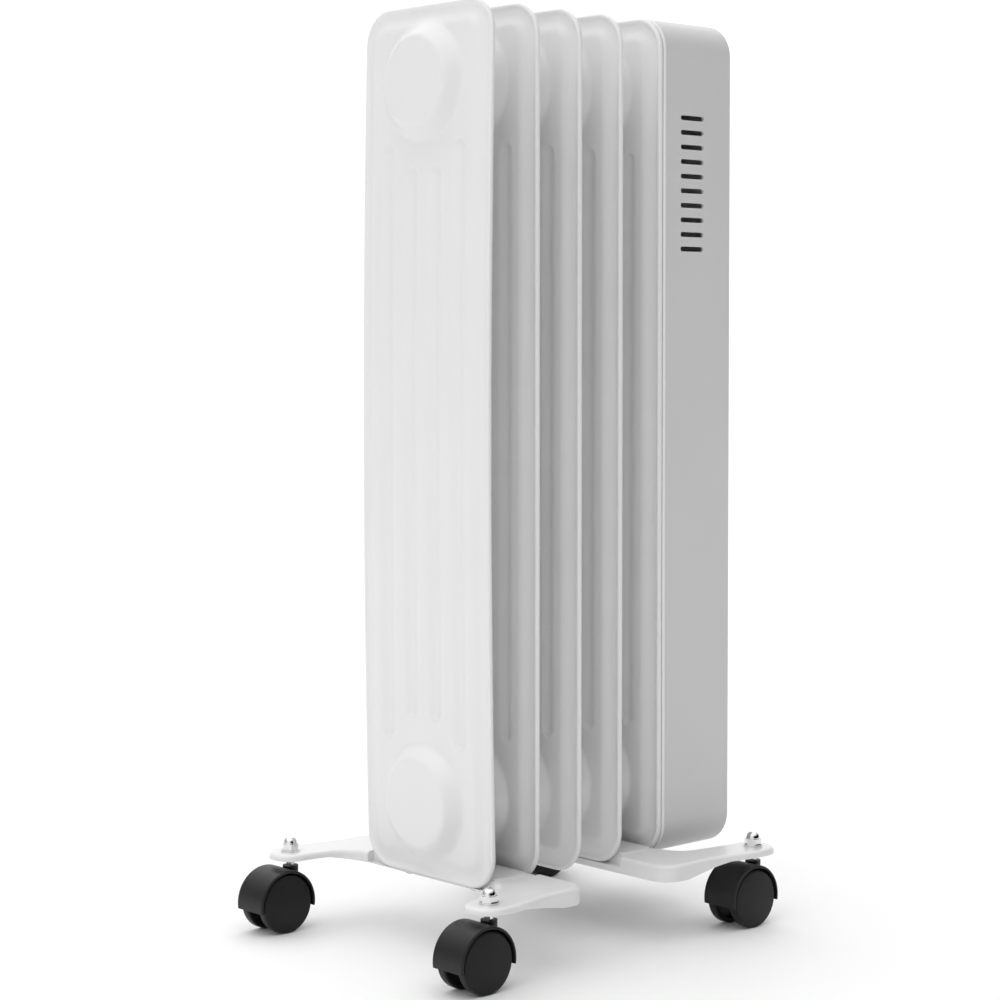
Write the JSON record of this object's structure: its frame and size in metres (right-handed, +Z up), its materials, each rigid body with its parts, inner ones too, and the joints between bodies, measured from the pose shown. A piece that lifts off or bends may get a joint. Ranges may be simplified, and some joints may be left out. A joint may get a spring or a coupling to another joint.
{
  "type": "oil filled radiator heater",
  "caption": "Upright oil filled radiator heater with pressed fins, a side control housing, pressed legs and swivel casters.",
  "frame": {"origin": "on the floor under the middle of the heater's bounding box", "axes": "+Z up, +X from the end fin to the control housing, Y across the fins"},
  "size_m": [0.3156, 0.233, 0.626],
  "materials": {
    "fin_enamel": "gloss white enamel",
    "housing_enamel": "satin white enamel",
    "leg_enamel": "satin white powder coat",
    "panel_plastic": "fine grained white plastic",
    "knob_plastic": "satin white plastic",
    "rocker_plastic": "gloss black plastic",
    "black_plastic": "matt black plastic",
    "caster_plastic": "satin black nylon",
    "wheel_plastic": "satin black nylon",
    "chrome": "bright plated",
    "zinc_plate": "zinc plated",
    "brass_fitting": "turned brass",
    "element_tube": "heat darkened steel",
    "red_fibre": "red fibre",
    "phenolic": "dark moulded phenolic",
    "amber_lens": "clear amber",
    "lead_insulation": "braided sleeve"
  },
  "bodies": {
    "root": {"fin_1_front_shell": "fin_enamel", "fin_1_rear_shell": "fin_enamel", "fin_2_front_shell": "fin_enamel", "fin_2_rear_shell": "fin_enamel", "fin_3_front_shell": "fin_enamel", "fin_3_rear_shell": "fin_enamel", "fin_4_front_shell": "fin_enamel", "fin_4_rear_shell": "fin_enamel", "fin_5_front_shell": "fin_enamel", "fin_5_rear_shell": "fin_enamel", "control_housing": "housing_enamel", "mounting_plate": "zinc_plate", "control_panel": "panel_plastic", "housing_screws": "zinc_plate", "panel_screws": "zinc_plate", "cord_gland": "black_plastic", "element_flange": "brass_fitting", "element_gasket": "red_fibre", "heating_element_low": "element_tube", "heating_element_high": "element_tube", "fill_plug": "brass_fitting", "fill_plug_seal": "red_fibre", "thermal_cutout": "phenolic", "terminal_block": "phenolic", "tilt_switch_case": "phenolic", "thermostat_body": "phenolic", "switch_low_body": "black_plastic", "switch_high_body": "black_plastic", "pilot_lens": "amber_lens", "pilot_lamp": "amber_lens", "internal_leads": "lead_insulation", "front_leg": "leg_enamel", "rear_leg": "leg_enamel", "leg_u_bolts": "zinc_plate", "leg_wing_nuts": "zinc_plate", "caster_washers": "chrome", "caster_cap_nuts": "chrome", "caster_stems": "chrome"},
    "thermostat_dial": {"thermostat_knob": "knob_plastic", "thermostat_shaft": "zinc_plate"},
    "low_rocker": {"switch_low_rocker": "rocker_plastic"},
    "high_rocker": {"switch_high_rocker": "rocker_plastic"},
    "tilt_bob": {"tilt_pendulum": "zinc_plate"},
    "front_left_caster": {"caster_front_left_hood": "caster_plastic", "caster_front_left_axle": "zinc_plate"},
    "front_left_wheel_outer": {"caster_front_left_wheel_outer": "wheel_plastic"},
    "front_left_wheel_inner": {"caster_front_left_wheel_inner": "wheel_plastic"},
    "front_right_caster": {"caster_front_right_hood": "caster_plastic", "caster_front_right_axle": "zinc_plate"},
    "front_right_wheel_outer": {"caster_front_right_wheel_outer": "wheel_plastic"},
    "front_right_wheel_inner": {"caster_front_right_wheel_inner": "wheel_plastic"},
    "rear_left_caster": {"caster_rear_left_hood": "caster_plastic", "caster_rear_left_axle": "zinc_plate"},
    "rear_left_wheel_outer": {"caster_rear_left_wheel_outer": "wheel_plastic"},
    "rear_left_wheel_inner": {"caster_rear_left_wheel_inner": "wheel_plastic"},
    "rear_right_caster": {"caster_rear_right_hood": "caster_plastic", "caster_rear_right_axle": "zinc_plate"},
    "rear_right_wheel_outer": {"caster_rear_right_wheel_outer": "wheel_plastic"},
    "rear_right_wheel_inner": {"caster_rear_right_wheel_inner": "wheel_plastic"}
  },
  "joints": [
    {"name": "front_left_swivel", "type": "hinge", "parent": "root", "child": "front_left_caster", "pos_m": [-0.1228, 0.102, 0.03], "axis": [0, 0, 1], "continuous": true},
    {"name": "front_left_outer_roll", "type": "hinge", "parent": "front_left_caster", "child": "front_left_wheel_outer", "pos_m": [-0.1348, 0.102, 0.02], "axis": [0, 1, 0], "continuous": true},
    {"name": "front_left_inner_roll", "type": "hinge", "parent": "front_left_caster", "child": "front_left_wheel_inner", "pos_m": [-0.1348, 0.102, 0.02], "axis": [0, 1, 0], "continuous": true},
    {"name": "front_right_swivel", "type": "hinge", "parent": "root", "child": "front_right_caster", "pos_m": [-0.1228, -0.102, 0.03], "axis": [0, 0, 1], "continuous": true},
    {"name": "front_right_outer_roll", "type": "hinge", "parent": "front_right_caster", "child": "front_right_wheel_outer", "pos_m": [-0.1348, -0.102, 0.02], "axis": [0, 1, 0], "continuous": true},
    {"name": "front_right_inner_roll", "type": "hinge", "parent": "front_right_caster", "child": "front_right_wheel_inner", "pos_m": [-0.1348, -0.102, 0.02], "axis": [0, 1, 0], "continuous": true},
    {"name": "rear_left_swivel", "type": "hinge", "parent": "root", "child": "rear_left_caster", "pos_m": [0.1247, 0.102, 0.03], "axis": [0, 0, 1], "continuous": true},
    {"name": "rear_left_outer_roll", "type": "hinge", "parent": "rear_left_caster", "child": "rear_left_wheel_outer", "pos_m": [0.1127, 0.102, 0.02], "axis": [0, 1, 0], "continuous": true},
    {"name": "rear_left_inner_roll", "type": "hinge", "parent": "rear_left_caster", "child": "rear_left_wheel_inner", "pos_m": [0.1127, 0.102, 0.02], "axis": [0, 1, 0], "continuous": true},
    {"name": "rear_right_swivel", "type": "hinge", "parent": "root", "child": "rear_right_caster", "pos_m": [0.1247, -0.102, 0.03], "axis": [0, 0, 1], "continuous": true},
    {"name": "rear_right_outer_roll", "type": "hinge", "parent": "rear_right_caster", "child": "rear_right_wheel_outer", "pos_m": [0.1127, -0.102, 0.02], "axis": [0, 1, 0], "continuous": true},
    {"name": "rear_right_inner_roll", "type": "hinge", "parent": "rear_right_caster", "child": "rear_right_wheel_inner", "pos_m": [0.1127, -0.102, 0.02], "axis": [0, 1, 0], "continuous": true},
    {"name": "thermostat_turn", "type": "hinge", "parent": "root", "child": "thermostat_dial", "pos_m": [0.1442, 0, 0.535], "axis": [1, 0, 0], "range_deg": [-270, 0]},
    {"name": "low_switch", "type": "hinge", "parent": "root", "child": "low_rocker", "pos_m": [0.1432, -0.021, 0.455], "axis": [0, -1, 0], "range_deg": [-16, 0]},
    {"name": "high_switch", "type": "hinge", "parent": "root", "child": "high_rocker", "pos_m": [0.1432, 0.021, 0.455], "axis": [0, -1, 0], "range_deg": [-16, 0]},
    {"name": "tilt_swing", "type": "hinge", "parent": "root", "child": "tilt_bob", "pos_m": [0.0954, 0, 0.268], "axis": [1, 0, 0], "range_deg": [-25, 25]}
  ]
}
